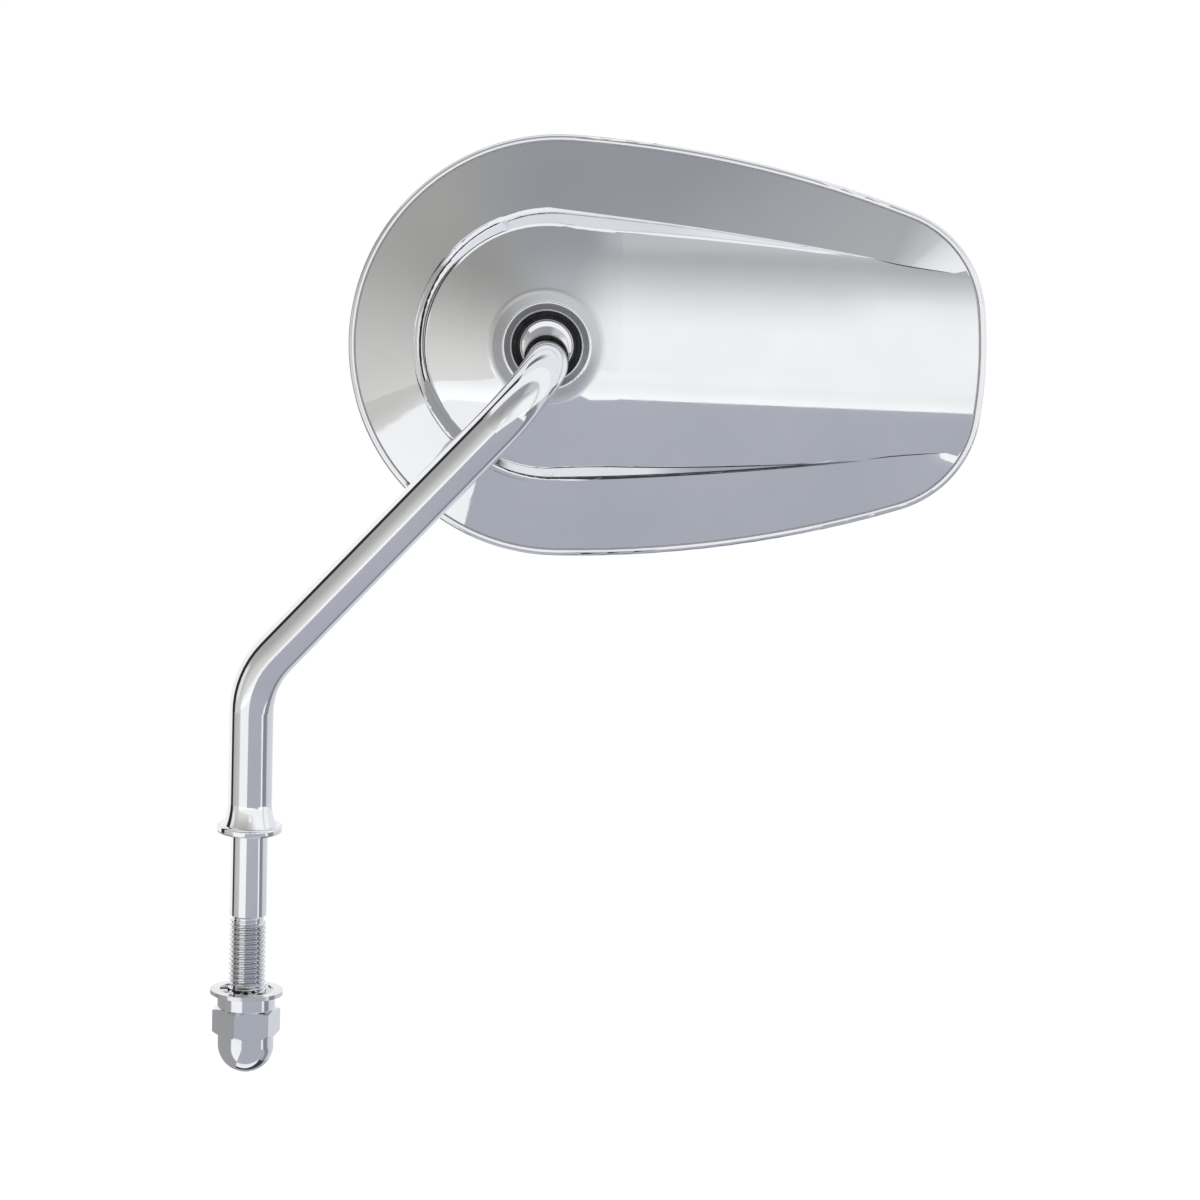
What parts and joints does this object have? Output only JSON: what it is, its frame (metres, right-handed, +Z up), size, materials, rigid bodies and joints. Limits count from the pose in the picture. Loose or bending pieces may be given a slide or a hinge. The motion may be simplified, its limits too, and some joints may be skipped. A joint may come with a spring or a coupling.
{
  "type": "motorcycle mirror",
  "caption": "Tapered chrome mirror head on a ball joint, carried by a bent round stem with collar, threaded stud, lock washer and acorn nut.",
  "frame": {"origin": "on the stud axis at the underside of the collar, where the stem seats on its perch", "axes": "+Z up along the stud, +X towards the long end of the head, +Y the way the glass faces"},
  "size_m": [0.1618, 0.0661, 0.1937],
  "materials": {
    "stem_chrome": "bright chrome plate on a bent steel rod",
    "ball_chrome": "bright chrome plate on a turned ball",
    "nut_chrome": "bright chrome plate on a turned nut",
    "washer_steel": "bright zinc plate",
    "seat_nylon": "black moulded nylon",
    "housing_chrome": "bright chrome plate on a polished casting",
    "spring_steel": "tempered spring steel",
    "plate_steel": "zinc-plated pressing",
    "screw_steel": "zinc-plated steel",
    "gasket_rubber": "black rubber",
    "mirror_silver": "silvered convex glass"
  },
  "bodies": {
    "stem": {"stem": "stem_chrome", "pivot_ball": "ball_chrome"},
    "stud_washer": {"lock_washer": "washer_steel"},
    "nut": {"acorn_nut": "nut_chrome"},
    "rear_seat": {"rear_ball_seat": "seat_nylon"},
    "front_seat": {"front_ball_seat": "seat_nylon"},
    "head": {"housing": "housing_chrome", "seat_spring": "spring_steel", "clamp_plate": "plate_steel", "clamp_screws": "screw_steel", "screw_lock_washers": "screw_steel", "glass_gasket": "gasket_rubber", "mirror_glass": "mirror_silver"}
  },
  "joints": [
    {"name": "nut_travel", "type": "slide", "parent": "stem", "child": "stud_washer", "axis": [0, 0, -1], "range_m": [-0.0027, 0.0118]},
    {"name": "nut_spin", "type": "hinge", "parent": "stud_washer", "child": "nut", "pos_m": [0, 0, -0.0353], "axis": [0, 0, -1], "range_deg": [-900, 3960]},
    {"name": "head_tilt", "type": "hinge", "parent": "stem", "child": "rear_seat", "pos_m": [0.0603, 0.0335, 0.0995], "axis": [1, 0, 0], "range_deg": [-5.5, 26.5]},
    {"name": "head_pan", "type": "hinge", "parent": "rear_seat", "child": "front_seat", "pos_m": [0.0603, 0.0335, 0.0995], "axis": [0, 0.1822, 0.9833], "range_deg": [-16, 16]},
    {"name": "head_roll", "type": "hinge", "parent": "front_seat", "child": "head", "pos_m": [0.0603, 0.0335, 0.0995], "axis": [0, 0.9833, -0.1822], "range_deg": [-90, 90]}
  ],
  "couplings": [
    {"joint": "nut_travel", "follows": "nut_spin", "m_per_rad": 0.00016844}
  ]
}
